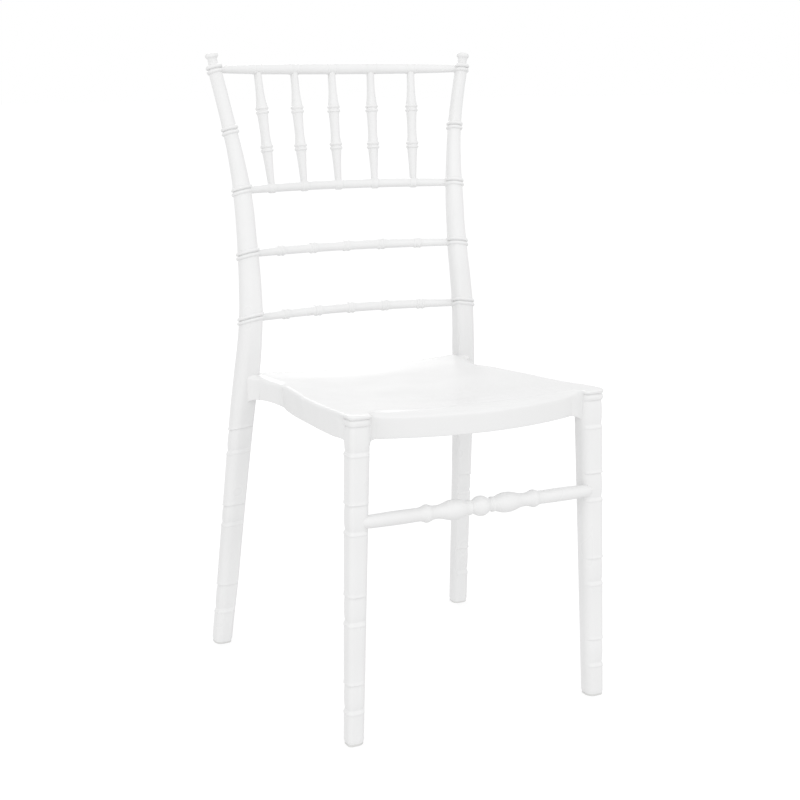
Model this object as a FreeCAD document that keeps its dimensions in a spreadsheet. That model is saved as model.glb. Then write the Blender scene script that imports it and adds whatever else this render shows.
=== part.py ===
import FreeCAD, Part
import math
import os

import Sketcher

os.makedirs("parts", exist_ok=True)

V = FreeCAD.Vector
ROT = FreeCAD.Rotation
PL = FreeCAD.Placement

doc = FreeCAD.newDocument("BanquetChair")
sheet = doc.addObject("Spreadsheet::Sheet", "Sizes")
VAL = {}
ROW = [0]


def size(alias, value, note=""):
    """One driving dimension: a plain number in the sheet with a word as alias."""
    ROW[0] += 1
    cell = "B%d" % ROW[0]
    sheet.set("A%d" % ROW[0], note or alias)
    sheet.set(cell, "%.4f" % value)
    sheet.setAlias(cell, alias)
    VAL[alias] = value
    return value


# ---------------------------------------------------------------------------
# Driving dimensions, millimetres.  X to the sitter's left-hand side of the
# picture frame, front of the chair towards -Y, +Z up, floor at Z = 0.
# ---------------------------------------------------------------------------
size("frame_shift", -0.65, "shift of everything along Y, centres the outline")
size("glide_height", 3.0, "visible height of a foot glide")
size("glide_inset", 1.2, "glide edge set in from the leg edge")
size("glide_stem_radius", 5.0, "push-in stem of a glide")
size("glide_stem_length", 16.0, "push-in stem of a glide")

# front leg: straight, raked outwards and forwards to the foot
size("front_top_height", 445.5, "top of the front leg, under the seat pad")
size("front_foot_half", 189.8, "half spacing of the feet")
size("front_top_half", 177.2, "half spacing of the leg tops")
size("front_foot_back", -229.6, "foot centre along Y")
size("front_top_back", -218.6, "leg top centre along Y")
size("front_top_wide", 31.6)
size("front_top_deep", 30.6)
size("front_foot_wide", 26.4)
size("front_foot_deep", 25.4)
size("front_round_inner_front", 12.0, "rounding of the corner towards the other leg, at the front")
size("front_round_outer_front", 6.5, "rounding of the outer front corner")
size("front_round_outer_back", 11.0, "rounding of the outer back corner")
size("front_round_inner_back", 6.5, "rounding of the corner facing the seat centre")
size("ring_stand", 0.9, "how far a bamboo ring stands proud")
for i, (za, zb) in enumerate([(434.0, 442.4), (392.5, 399.0), (330.5, 335.0), (287.8, 294.3),
                              (206.5, 211.0), (164.2, 170.7), (85.5, 90.0), (42.6, 49.1)]):
    size("front_ring_low_%s" % "abcdefgh"[i], za)
    size("front_ring_high_%s" % "abcdefgh"[i], zb)

# rear post stations: height, half spacing, depth position, thickness, rounding
# of the outer front and inner back corners, rounding of the corner facing the
# seat centre, rounding of the outer back corner
POST = [(3.0, 211.5, 209.2, 27.4, 10.6, 9.0, 7.6),
        (60.0, 208.5, 201.6, 27.8, 10.8, 7.0, 7.6),
        (130.0, 204.8, 192.2, 28.4, 11.0, 5.0, 7.8),
        (200.0, 201.0, 182.9, 29.2, 11.2, 4.0, 8.0),
        (270.0, 197.0, 173.6, 30.2, 11.4, 3.0, 8.2),
        (340.0, 193.1, 164.1, 31.4, 11.8, 3.0, 8.4),
        (400.0, 188.8, 155.9, 32.6, 12.4, 3.0, 8.6),
        (440.0, 185.1, 150.6, 33.2, 13.4, 4.0, 8.8),
        (480.0, 181.7, 146.0, 32.6, 14.4, 6.0, 9.0),
        (520.0, 179.0, 144.4, 31.8, 14.5, 8.0, 9.6),
        (560.0, 176.9, 148.4, 31.0, 14.2, 10.0, 11.0),
        (600.0, 175.7, 154.8, 29.9, 13.7, 12.0, 12.6),
        (640.0, 175.4, 161.2, 27.9, 12.8, 12.8, 12.8),
        (680.0, 176.1, 167.1, 26.8, 12.3, 12.3, 12.3),
        (710.0, 177.6, 172.3, 24.9, 11.4, 11.4, 11.4),
        (750.0, 181.3, 180.5, 22.2, 10.2, 10.2, 10.2),
        (792.0, 187.2, 189.0, 20.1, 9.2, 9.2, 9.2),
        (840.0, 196.3, 195.9, 18.9, 8.7, 8.7, 8.7),
        (886.0, 205.8, 200.7, 18.6, 8.5, 8.5, 8.5)]
for i, row in enumerate(POST):
    tag = "abcdefghijklmnopqrs"[i]
    for key, val in zip(("height", "half", "back", "thick", "round", "inner", "rear_round"), row):
        size("post_%s_%s" % (key, tag), val)

# double beads round the rear posts (height of the pair's middle)
COLLAR = [("lower", 519.5), ("third", 613.8), ("second", 705.9), ("middle", 792.1), ("top", 880.0)]
for key, zc in COLLAR:
    size("collar_height_" + key, zc)
size("collar_pitch", 6.0, "distance of the two beads of a collar")
size("collar_bead", 2.0, "half height of a bead")
size("collar_proud", 2.7, "how far a bead stands out of the post")
size("collar_lean_out", 0.155, "outward droop of a collar per mm")
size("collar_lean_back", 0.26, "backward droop of a collar per mm")
for i, (za, zb) in enumerate([(353.0, 358.0), (309.0, 315.5), (228.0, 232.5), (195.0, 201.0),
                              (97.0, 101.0), (50.0, 56.0)]):
    size("rear_ring_low_%s" % "abcdef"[i], za)
    size("rear_ring_high_%s" % "abcdef"[i], zb)

# rails of the back: half spacing of the ends, depth of the ends, height,
# backward bow at mid span, radius at mid span, radius at the ends
RAIL = {"top_rail": (204.6, 200.1, 880.0, 41.4, 8.2, 5.0),
        "spindle_rail": (177.4, 171.6, 705.9, 46.5, 6.9, 5.2),
        "upper_back_rail": (175.5, 157.0, 613.8, 34.6, 6.9, 5.0),
        "lower_back_rail": (179.1, 144.4, 519.5, 33.1, 6.9, 5.0)}
for key, row in RAIL.items():
    for what, val in zip(("half", "back", "height", "bow", "mid_radius", "end_radius"), row):
        size("%s_%s" % (key, what), val)
size("rail_spigot", 9.0, "how far a rail end stops short of the post axis, less this, is in its socket")
size("rail_node_stand", 1.6, "swelling of a rail at a bamboo node")

# spindles
size("spindle_top_pitch", 64.2)
size("spindle_low_pitch", 59.6)
size("spindle_tenon_radius", 3.5)
size("spindle_tenon_length", 3.5)

# front stretcher
size("stretcher_height", 305.5)
size("stretcher_back", -231.0)
size("stretcher_half", 178.0, "half length, ends in blind sockets of the front legs")

# finial
size("finial_stem_radius", 4.0)
size("finial_stem_length", 14.0)

# seat
size("seat_wall", 4.2, "wall of the seat moulding")
size("seat_front_bow", 30.0)
size("seat_front_mid", -250.0)
size("seat_rear", 156.0)
size("seat_rib_wide", 3.2)
size("seat_rib_deep", 8.0)

# fasteners
size("bolt_radius", 3.0)
size("bolt_head_radius", 5.0)
size("bolt_head_length", 6.0)
size("bolt_grip", 8.0, "boss wall clamped under a bolt head")
size("bolt_reach", 17.0, "bolt length inside the leg")
size("insert_radius", 4.3)
size("insert_length", 12.0)
doc.recompute()


def S(name):
    return "Sizes.%s" % name


# ---------------------------------------------------------------------------
# Helpers
# ---------------------------------------------------------------------------
def new_body(name):
    body = doc.addObject("PartDesign::Body", name)
    body.Label = name
    return body


def plane_of(body, role):
    for f in body.Origin.OriginFeatures:
        if f.Role == role:
            return f
    raise RuntimeError(role)


def corner_sketch(body, name, height, cx, cy, wx, wy, radii, yoff, level=True):
    """Rounded section on a level plane.  radii holds the corner radii in the order
    -x-y, +x-y, +x+y, -x+y (the middle of the chair is towards -x).  All arguments
    are expressions with values; yoff keeps the sketch coordinates positive."""
    sk = body.newObject("Sketcher::SketchObject", name)
    sk.AttachmentSupport = [(plane_of(body, "XY_Plane"), "")]
    sk.MapMode = "FlatFace"
    if level:
        sk.setExpression(".AttachmentOffset.Base.z", height[0])
    x0, y0, w, d = cx[1], cy[1] + yoff, wx[1], wy[1]
    rad = radii
    sgn = [(-1, -1), (1, -1), (1, 1), (-1, 1)]
    cen = []
    for k, (sx, sy) in enumerate(sgn):
        r = rad[k][1]
        cen.append((x0 + sx * (w / 2 - r), y0 + sy * (d / 2 - r), r))
    start = [math.pi, 1.5 * math.pi, 0.0, 0.5 * math.pi]
    arcs = []
    for k in range(4):
        c = cen[k]
        arcs.append(sk.addGeometry(Part.ArcOfCircle(
            Part.Circle(V(c[0], c[1], 0), V(0, 0, 1), c[2]), start[k], start[k] + math.pi / 2), False))
    lines = []
    for k in range(4):
        n = (k + 1) % 4
        a0 = start[k] + math.pi / 2
        b0 = start[n]
        p = V(cen[k][0] + cen[k][2] * math.cos(a0), cen[k][1] + cen[k][2] * math.sin(a0), 0)
        q = V(cen[n][0] + cen[n][2] * math.cos(b0), cen[n][1] + cen[n][2] * math.sin(b0), 0)
        lines.append(sk.addGeometry(Part.LineSegment(p, q), False))
    for k in range(4):
        n = (k + 1) % 4
        sk.addConstraint(Sketcher.Constraint("Tangent", arcs[k], 2, lines[k], 1))
        sk.addConstraint(Sketcher.Constraint("Tangent", lines[k], 2, arcs[n], 1))
    for k, (sx, sy) in enumerate(sgn):
        c = cen[k]
        i = sk.addConstraint(Sketcher.Constraint("Radius", arcs[k], c[2]))
        sk.setExpression("Constraints[%d]" % i, rad[k][0])
        i = sk.addConstraint(Sketcher.Constraint("DistanceX", -1, 1, arcs[k], 3, c[0]))
        sk.setExpression("Constraints[%d]" % i, "%s %s (%s) / 2 %s (%s)" % (
            cx[0], "+" if sx > 0 else "-", wx[0], "-" if sx > 0 else "+", rad[k][0]))
        i = sk.addConstraint(Sketcher.Constraint("DistanceY", -1, 1, arcs[k], 3, c[1]))
        sk.setExpression("Constraints[%d]" % i, "%s + %.3f %s (%s) / 2 %s (%s)" % (
            cy[0], yoff, "+" if sy > 0 else "-", wy[0], "-" if sy > 0 else "+", rad[k][0]))
    return sk


def E(name):
    """(expression, value) of a sheet cell."""
    return (S(name), VAL[name])


def mix(a, b, t):
    """Expression and value a + (b - a) * t of two cells."""
    return ("(%s + (%s - %s) * %.6f)" % (S(a), S(b), S(a), t), VAL[a] + (VAL[b] - VAL[a]) * t)


def plus(e, k):
    return ("(%s + %s)" % (e[0], k[0]), e[1] + k[1])


def turned(name, pts, axis_z=True):
    """A turned piece about the local Z axis: pts is a list of (z, r), each an
    (expression, value) pair or a number.  Built as a sketch and a revolution."""
    body = new_body(name)
    sk = body.newObject("Sketcher::SketchObject", name + "_profile")
    sk.AttachmentSupport = [(plane_of(body, "XZ_Plane"), "")]
    sk.MapMode = "FlatFace"
    P = []
    for z, r in pts:
        z = z if isinstance(z, tuple) else (None, float(z))
        r = r if isinstance(r, tuple) else (None, float(r))
        P.append((z, r))
    n = len(P)
    ids = []
    for k in range(n):
        a, b = P[k], P[(k + 1) % n]
        ids.append(sk.addGeometry(Part.LineSegment(V(a[1][1], a[0][1], 0), V(b[1][1], b[0][1], 0)), False))
    for k in range(n):
        sk.addConstraint(Sketcher.Constraint("Coincident", ids[k], 2, ids[(k + 1) % n], 1))
    for k in range(n):
        z, r = P[k]
        if abs(r[1]) < 1e-9:
            sk.addConstraint(Sketcher.Constraint("PointOnObject", ids[k], 1, -2))
        else:
            i = sk.addConstraint(Sketcher.Constraint("DistanceX", -1, 1, ids[k], 1, r[1]))
            if r[0]:
                sk.setExpression("Constraints[%d]" % i, r[0])
        if abs(z[1]) < 1e-9:
            sk.addConstraint(Sketcher.Constraint("PointOnObject", ids[k], 1, -1))
        else:
            i = sk.addConstraint(Sketcher.Constraint("DistanceY", -1, 1, ids[k], 1, z[1]))
            if z[0]:
                sk.setExpression("Constraints[%d]" % i, z[0])
    rev = body.newObject("PartDesign::Revolution", name + "_turned")
    rev.Profile = sk
    rev.ReferenceAxis = (sk, ["V_Axis"])
    rev.Angle = 360.0
    body.Tip = rev
    return body


def place(obj, origin, direction):
    """Local Z to the given direction, local origin to the given point."""
    obj.Placement = PL(V(*origin), ROT(V(0, 0, 1), V(*direction)))


def lerp_table(z, col):
    t = POST
    if z <= t[0][0]:
        return t[0][col]
    for a, b in zip(t[:-1], t[1:]):
        if z <= b[0]:
            k = (z - a[0]) / (b[0] - a[0])
            return a[col] + (b[col] - a[col]) * k
    return t[-1][col]


NODES = []


def node(obj, label):
    obj.Label = label
    NODES.append((label, obj))
    return obj


def mirrored(obj, name):
    m = doc.addObject("Part::Mirroring", name)
    m.Source = obj
    m.Base = V(0, 0, 0)
    m.Normal = V(1, 0, 0)
    return m


def fused(name, objs):
    f = doc.addObject("Part::MultiFuse", name)
    f.Shapes = objs
    return f


def cut(name, base, tool):
    c = doc.addObject("Part::Cut", name)
    c.Base = base
    c.Tool = tool
    return c


def bar(name, radius, length, origin, direction):
    """Round bar or drill, radius and length bound to the sheet."""
    c = doc.addObject("Part::Cylinder", name)
    c.setExpression("Radius", radius if isinstance(radius, str) else repr(radius))
    c.setExpression("Height", length if isinstance(length, str) else repr(length))
    place(c, origin, direction)
    return c


# ---------------------------------------------------------------------------
# Front leg (right-hand one modelled, left-hand one mirrored)
# ---------------------------------------------------------------------------
FY = 300.0          # keeps sketch coordinates positive


def front_t(z):
    return (z - VAL["glide_height"]) / (VAL["front_top_height"] - VAL["glide_height"])


FRONT_ROUND = [E("front_round_inner_front"), E("front_round_outer_front"), E("front_round_outer_back"),
               E("front_round_inner_back")]


def front_section(body, name, zexpr, t, shift=None):
    cx = mix("front_foot_half", "front_top_half", t)
    cy = mix("front_foot_back", "front_top_back", t)
    if shift:
        cx = plus(cx, (S("ring_stand"), VAL["ring_stand"]))
        cy = ("(%s - %s)" % (cy[0], S("ring_stand")), cy[1] - VAL["ring_stand"])
    return corner_sketch(body, name, zexpr, cx, cy,
                         mix("front_foot_wide", "front_top_wide", t),
                         mix("front_foot_deep", "front_top_deep", t),
                         FRONT_ROUND, FY)


def front_body(name, rings):
    body = new_body(name)
    lo = front_section(body, name + "_foot", E("glide_height"), 0.0)
    hi = front_section(body, name + "_top", E("front_top_height"), 1.0)
    loft = body.newObject("PartDesign::AdditiveLoft", name + "_taper")
    loft.Profile = lo
    loft.Sections = [hi]
    loft.Ruled = True
    body.Tip = loft
    if rings:
        for k in "abcdefgh":
            za, zb = VAL["front_ring_low_" + k], VAL["front_ring_high_" + k]
            sk = front_section(body, name + "_ring_" + k, E("front_ring_low_" + k),
                               front_t((za + zb) / 2), shift=True)
            pad = body.newObject("PartDesign::Pad", name + "_bead_" + k)
            pad.Profile = sk
            pad.setExpression("Length", "%s - %s" % (S("front_ring_high_" + k), S("front_ring_low_" + k)))
            body.Tip = pad
    body.Placement = PL(V(0, -FY, 0), ROT())
    return body


front_core = front_body("front_leg_core", False)
front_leg_raw = front_body("front_leg_ringed", True)

# ---------------------------------------------------------------------------
# Rear post, foot to top in one length (right-hand one modelled)
# ---------------------------------------------------------------------------
TAGS = "abcdefghijklmnopqrs"


def post_section(body, name, tag):
    return corner_sketch(body, name, E("post_height_" + tag), E("post_half_" + tag),
                         E("post_back_" + tag), E("post_thick_" + tag), E("post_thick_" + tag),
                         [E("post_inner_" + tag), E("post_round_" + tag), E("post_rear_round_" + tag),
                          E("post_round_" + tag)], 0.0)


def post_body(name, rings):
    body = new_body(name)
    sks = [post_section(body, "%s_section_%s" % (name, t), t) for t in TAGS]
    loft = body.newObject("PartDesign::AdditiveLoft", name + "_skin")
    loft.Profile = sks[0]
    loft.Sections = sks[1:]
    loft.Ruled = True
    body.Tip = loft
    if rings:
        # half rings of the lower leg: level sections shifted outwards and backwards
        for k in "abcdef":
            za, zb = VAL["rear_ring_low_" + k], VAL["rear_ring_high_" + k]
            zm = (za + zb) / 2
            st = VAL["ring_stand"]
            cx, cy = lerp_table(zm, 1) + st, lerp_table(zm, 2)
            w = lerp_table(zm, 3)
            sk = corner_sketch(body, name + "_ring_" + k, E("rear_ring_low_" + k),
                               ("%.4f + %s" % (cx - st, S("ring_stand")), cx), ("%.4f" % cy, cy),
                               ("%.4f" % w, w), ("%.4f" % (w - 0.6), w - 0.6),
                               [("%.4f" % (lerp_table(zm, c) - q), lerp_table(zm, c) - q)
                                for c, q in ((5, 0.0), (4, 0.2), (6, 0.2), (4, 0.2))], 0.0)
            pad = body.newObject("PartDesign::Pad", name + "_bead_" + k)
            pad.Profile = sk
            pad.setExpression("Length", "%s - %s" % (S("rear_ring_high_" + k), S("rear_ring_low_" + k)))
            body.Tip = pad
        # double beads of the upper post, on planes that droop outwards and backwards
        for key, zc in COLLAR:
            cx, cy, d = lerp_table(zc, 1), lerp_table(zc, 2), lerp_table(zc, 3)
            nrm = V(VAL["collar_lean_out"], VAL["collar_lean_back"], 1.0)
            nrm.normalize()
            turn = ROT(V(0, 0, 1), nrm)
            for sign, tag in ((1, "upper"), (-1, "lower")):
                far = 100.0
                pr = (S("collar_proud"), VAL["collar_proud"])
                wide = ("(%.4f + 2 * %s)" % (d, pr[0]), d + 2 * pr[1])
                sk = corner_sketch(body, "%s_%s_%s_outline" % (name, key, tag), ("0", 0.0),
                                   ("%.4f" % far, far), ("%.4f" % far, far), wide, wide,
                                   [("(%.4f + %s)" % (lerp_table(zc, c), pr[0]), lerp_table(zc, c) + pr[1])
                                    for c in (5, 4, 6, 4)], 0.0, level=False)
                low = nrm * (sign * VAL["collar_pitch"] / 2 - VAL["collar_bead"])
                sk.AttachmentOffset = PL(V(cx, cy, zc) + low - turn.multVec(V(far, far, 0)), turn)
                pad = body.newObject("PartDesign::Pad", "%s_%s_%s" % (name, key, tag))
                pad.Profile = sk
                pad.setExpression("Length", "2 * " + S("collar_bead"))
                body.Tip = pad
    return body


post_core = post_body("rear_post_core", False)
post_raw = post_body("rear_post_ringed", True)

doc.recompute()

# ---------------------------------------------------------------------------
# Rails of the back: round bars bowed backwards, with bamboo nodes
# ---------------------------------------------------------------------------


def rail_point(key, x):
    half, back, height, bow = [VAL["%s_%s" % (key, w)] for w in ("half", "back", "height", "bow")]
    rad = (half * half + bow * bow) / (2 * bow)
    y = back + bow - rad + math.sqrt(rad * rad - x * x)
    return V(x, y, height), V(1, -x / math.sqrt(rad * rad - x * x), 0)


def rail(key, node_x, node_half):
    """Loft through round sections standing across the bowed axis.  Radii are
    bound to the sheet: mid radius, end radius and the stand of the nodes."""
    half = VAL[key + "_half"]
    end = half - 4.0
    xs = set()
    n = 16
    for i in range(n + 1):
        xs.add(round(-end + 2 * end * i / n, 3))
    for c in node_x:
        for dx in (-node_half, -node_half * 0.45, 0.0, node_half * 0.45, node_half):
            xs.add(round(c + dx, 3))
    xs = sorted(xs)
    keep = []
    for x in xs:
        near = [c for c in node_x if abs(x - c) <= node_half + 0.01]
        if near and not any(abs(abs(x - c) - k * node_half) < 0.02 for c in near for k in (0, 0.45, 1.0)):
            continue
        if keep and x - keep[-1] < 1.2:
            continue
        keep.append(x)
    circles = []
    for j, x in enumerate(keep):
        c = doc.addObject("Part::Circle", "%s_station_%02d" % (key, j))
        t = min(1.0, abs(x) / half)
        shape = t ** 3
        bump = 0.0
        for cx in node_x:
            if abs(x - cx) < node_half * 0.3:
                bump = 0.55
            elif abs(x - cx) < node_half * 0.7:
                bump = 1.0
        expr = "%s + (%s - %s) * %.5f" % (S(key + "_mid_radius"), S(key + "_end_radius"),
                                          S(key + "_mid_radius"), shape)
        if bump:
            expr += " + %s * %.2f" % (S("rail_node_stand"), bump)
        c.setExpression("Radius", expr)
        p, tan = rail_point(key, x)
        c.Placement = PL(p, ROT(V(0, 0, 1), tan))
        circles.append(c)
    loft = doc.addObject("Part::Loft", key + "_bar")
    loft.Sections = circles
    loft.Solid = True
    loft.Ruled = True
    return loft


SP_TOP = [VAL["spindle_top_pitch"] * k for k in (-2, -1, 0, 1, 2)]
SP_LOW = [VAL["spindle_low_pitch"] * k for k in (-2, -1, 0, 1, 2)]
top_bar = rail("top_rail", SP_TOP, 4.0)
spindle_bar = rail("spindle_rail", SP_LOW, 5.0)
upper_bar = rail("upper_back_rail", [57.7 * k for k in (-2, -1, 0, 1, 2)], 7.0)
lower_bar = rail("lower_back_rail", [57.1 * k for k in (-2, -1, 0, 1, 2)], 7.0)
doc.recompute()

# ---------------------------------------------------------------------------
# Five turned spindles between the top rail and the spindle rail
# ---------------------------------------------------------------------------
SPINDLE = [(0.00, 5.6), (0.12, 5.8), (0.20, 6.4), (0.27, 7.8), (0.300, 8.6),
           (0.303, 10.0), (0.326, 10.0), (0.329, 8.4), (0.340, 8.4), (0.343, 10.0), (0.366, 10.0),
           (0.369, 8.3), (0.42, 7.6), (0.52, 7.0), (0.60, 7.3), (0.642, 8.4),
           (0.645, 9.8), (0.668, 9.8), (0.671, 8.2), (0.682, 8.2), (0.685, 9.8), (0.708, 9.8),
           (0.711, 7.6), (0.78, 6.8), (0.90, 5.5), (1.00, 5.0)]
spindles = []
for i in range(5):
    a, _ = rail_point("top_rail", SP_TOP[i])
    b, _ = rail_point("spindle_rail", SP_LOW[i])
    d = b - a
    full = d.Length
    d.normalize()
    # shoulders sink 3 mm into each rail, tenons go further
    u0 = VAL["top_rail_mid_radius"] - 3.0
    u1 = full - (VAL["spindle_rail_mid_radius"] - 3.0)
    ten, tl = VAL["spindle_tenon_radius"], VAL["spindle_tenon_length"]
    pts = [(u0 - tl, 0.0), (u0 - tl, E("spindle_tenon_radius")), (u0, E("spindle_tenon_radius"))]
    for t, r in SPINDLE:
        pts.append((u0 + (u1 - u0) * t, r))
    pts += [(u1, E("spindle_tenon_radius")), (u1 + tl, E("spindle_tenon_radius")), (u1 + tl, 0.0)]
    body = turned("spindle_%d" % (i + 1), pts)
    place(body, (a.x, a.y, a.z), (d.x, d.y, d.z))
    spindles.append(body)
    NODES.append((body.Label, body))
doc.recompute()

spindle_tools = doc.addObject("Part::Compound", "spindle_ends")
spindle_tools.Links = spindles
top_rail_part = node(cut("top_rail_cut", top_bar, spindle_tools), "top_rail")
spindle_rail_part = node(cut("spindle_rail_cut", spindle_bar, spindle_tools), "spindle_rail")
node(upper_bar, "upper_back_rail")
node(lower_bar, "lower_back_rail")

# ---------------------------------------------------------------------------
# Turned front stretcher between the front legs
# ---------------------------------------------------------------------------
STR = [(0.0, 14.0), (5.0, 13.0), (9.0, 10.8), (12.0, 9.2), (14.5, 8.8), (16.0, 10.4), (19.5, 10.6),
       (21.5, 9.8), (28.0, 12.2), (35.0, 13.8), (42.0, 14.0), (50.0, 13.0), (58.0, 10.6), (64.0, 9.5),
       (70.0, 9.3), (75.0, 10.2), (79.0, 11.6), (83.0, 12.4), (87.0, 11.6), (91.0, 9.8), (96.0, 9.4),
       (130.0, 9.5), (158.0, 9.2), (165.0, 8.9), (170.0, 8.4), (174.0, 7.4)]
half = VAL["stretcher_half"]
pts = [((S("stretcher_half") + " * 0", 0.0), 0.0)]
prof = [(half - x, r) for x, r in reversed(STR)] + [(half + x, r) for x, r in STR[1:]]
pts = [(0.0, 0.0), (0.0, 5.0)] + prof + [(("%s * 2" % S("stretcher_half"), 2 * half), 5.0),
                                        (("%s * 2" % S("stretcher_half"), 2 * half), 0.0)]
stretcher = turned("front_stretcher", pts)
place(stretcher, (-half, VAL["stretcher_back"], VAL["stretcher_height"]), (1, 0, 0))
NODES.append(("front_stretcher", stretcher))

# ---------------------------------------------------------------------------
# Finials: turned caps pushed into the post tops
# ---------------------------------------------------------------------------
q = POST[-1]
pa, pb = POST[-2], POST[-1]
lean = V(pb[1] - pa[1], pb[2] - pa[2], pb[0] - pa[0])
lean.normalize()
SINK = size("finial_sink", 1.6, "finial seats this deep in the post top")
doc.recompute()
fin = turned("finial_turned", [(-VAL["finial_stem_length"], 0.0), (-VAL["finial_stem_length"], E("finial_stem_radius")),
                               (0.0, E("finial_stem_radius")), (0.0, 8.3), (3.0, 7.3), (6.4, 6.8), (10.4, 7.1), (12.6, 8.0),
                               (13.8, 9.3), (15.6, 9.8), (17.8, 9.4), (19.6, 7.6), (20.2, 4.0), (20.3, 0.0)])
place(fin, (pb[1], pb[2], pb[0] - SINK), (lean.x * 0.75, lean.y * 0.75, lean.z))

# ---------------------------------------------------------------------------
# Foot glides: rounded pad and stem
# ---------------------------------------------------------------------------


def glide(name, cx, cy, w, d, radii, yoff):
    body = new_body(name)
    g = S("glide_inset")
    gi = VAL["glide_inset"]
    sk = corner_sketch(body, name + "_pad_outline", (repr(0.0), 0.0), cx, cy,
                       ("(%s - 2 * %s)" % (w[0], g), w[1] - 2 * gi), ("(%s - 2 * %s)" % (d[0], g), d[1] - 2 * gi),
                       [("(%s - %s)" % (r[0], g), r[1] - gi) for r in radii], yoff)
    pad = body.newObject("PartDesign::Pad", name + "_pad")
    pad.Profile = sk
    pad.setExpression("Length", S("glide_height"))
    body.Tip = pad
    doc.recompute()
    ch = body.newObject("PartDesign::Fillet", name + "_edge")
    low = [i + 1 for i, e in enumerate(pad.Shape.Edges)
           if abs(e.BoundBox.ZMin) < 1e-6 and abs(e.BoundBox.ZMax) < 1e-6]
    ch.Base = (pad, ["Edge%d" % i for i in low])
    ch.Radius = 1.0
    body.Tip = ch
    stem = body.newObject("PartDesign::AdditiveCylinder", name + "_stem")
    stem.AttachmentSupport = [(plane_of(body, "XY_Plane"), "")]
    stem.MapMode = "FlatFace"
    stem.AttachmentOffset = PL(V(cx[1], cy[1] + yoff, 1.0), ROT())
    stem.setExpression("Radius", S("glide_stem_radius"))
    stem.setExpression("Height", "%s + %s - 1" % (S("glide_stem_length"), S("glide_height")))
    body.Tip = stem
    body.Placement = PL(V(0, -yoff, 0), ROT())
    return body


front_glide = glide("front_glide", E("front_foot_half"), E("front_foot_back"), E("front_foot_wide"),
                    E("front_foot_deep"), FRONT_ROUND, FY)
rear_glide = glide("rear_glide", E("post_half_a"), E("post_back_a"), E("post_thick_a"), E("post_thick_a"),
                   [E("post_inner_a"), E("post_round_a"), E("post_rear_round_a"), E("post_round_a")], 0.0)
doc.recompute()

# ---------------------------------------------------------------------------
# Bolts and threaded inserts that hold the seat moulding to the legs
# ---------------------------------------------------------------------------


def front_axis(z):
    t = front_t(z)
    return (VAL["front_foot_half"] + (VAL["front_top_half"] - VAL["front_foot_half"]) * t,
            VAL["front_foot_back"] + (VAL["front_top_back"] - VAL["front_foot_back"]) * t,
            VAL["front_foot_deep"] + (VAL["front_top_deep"] - VAL["front_foot_deep"]) * t)


BOLTS = []      # (point on the leg face, direction into the leg)
for z in (434.0, 420.0):
    cx, cy, d = front_axis(z)
    BOLTS.append(("front", V(cx - 1.0, cy + d / 2, z), V(0, -1, 0)))
for z in (420.0, 407.0):
    cx, cy, d = lerp_table(z, 1), lerp_table(z, 2), lerp_table(z, 3)
    BOLTS.append(("rear", V(cx - d / 2, cy - 7.0, z), V(1, 0, 0)))

groups = {}
for i, (where, p, d) in enumerate(BOLTS):
    grip = VAL["bolt_grip"]
    head = bar("bolt_head_%d" % i, S("bolt_head_radius"), S("bolt_head_length"),
               tuple(p - d * (grip + VAL["bolt_head_length"])), tuple(d))
    shank = bar("bolt_shank_%d" % i, S("bolt_radius"), "%s + %s" % (S("bolt_grip"), S("bolt_reach")),
                tuple(p - d * grip), tuple(d))
    socket = doc.addObject("Part::Prism", "bolt_socket_%d" % i)
    socket.Polygon = 6
    socket.Circumradius = 2.9
    socket.Height = 3.5
    place(socket, tuple(p - d * (grip + VAL["bolt_head_length"])), tuple(d))
    solid = cut("bolt_%d" % i, fused("bolt_blank_%d" % i, [head, shank]), socket)
    outer = bar("insert_outer_%d" % i, S("insert_radius"), S("insert_length"), tuple(p + d * 0.6), tuple(d))
    inner = bar("insert_bore_%d" % i, S("bolt_radius"), S("insert_length"), tuple(p + d * 0.6), tuple(d))
    ins = cut("insert_%d" % i, outer, inner)
    drill = bar("leg_drill_%d" % i, S("bolt_radius"), "%s + 4" % S("bolt_reach"), tuple(p - d * 4.0), tuple(d))
    g = groups.setdefault(where, {"bolt": [], "insert": [], "drill": [], "hole": []})
    g["bolt"] += [solid, mirrored(solid, "bolt_m_%d" % i)]
    g["insert"] += [ins, mirrored(ins, "insert_m_%d" % i)]
    g["drill"] += [outer, drill]
    g["hole"] += [bar("boss_hole_%d" % i, "%s + 0.2" % S("bolt_radius"), "%s + 0.4" % S("bolt_grip"),
                      tuple(p - d * (grip + 0.2)), tuple(d))]
doc.recompute()
for where, label in (("front", "front_leg"), ("rear", "rear_post")):
    comp = doc.addObject("Part::Compound", label + "_bolt_set")
    comp.Links = groups[where]["bolt"]
    node(comp, label + "_bolts")
    comp = doc.addObject("Part::Compound", label + "_insert_set")
    comp.Links = groups[where]["insert"]
    node(comp, label + "_threaded_inserts")

# ---------------------------------------------------------------------------
# Legs and posts with their sockets
# ---------------------------------------------------------------------------
stem_front = bar("glide_bore_front", S("glide_stem_radius"), S("glide_stem_length"),
                 (VAL["front_foot_half"], VAL["front_foot_back"], VAL["glide_height"]), (0, 0, 1))
front_tools = fused("front_leg_sockets", [stem_front] + groups["front"]["drill"])
front_bored = cut("front_leg_bored", front_leg_raw, front_tools)
front_right = cut("front_leg_right", front_bored, stretcher)
node(front_right, "right_front_leg")
node(mirrored(front_right, "front_leg_left"), "left_front_leg")

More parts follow.
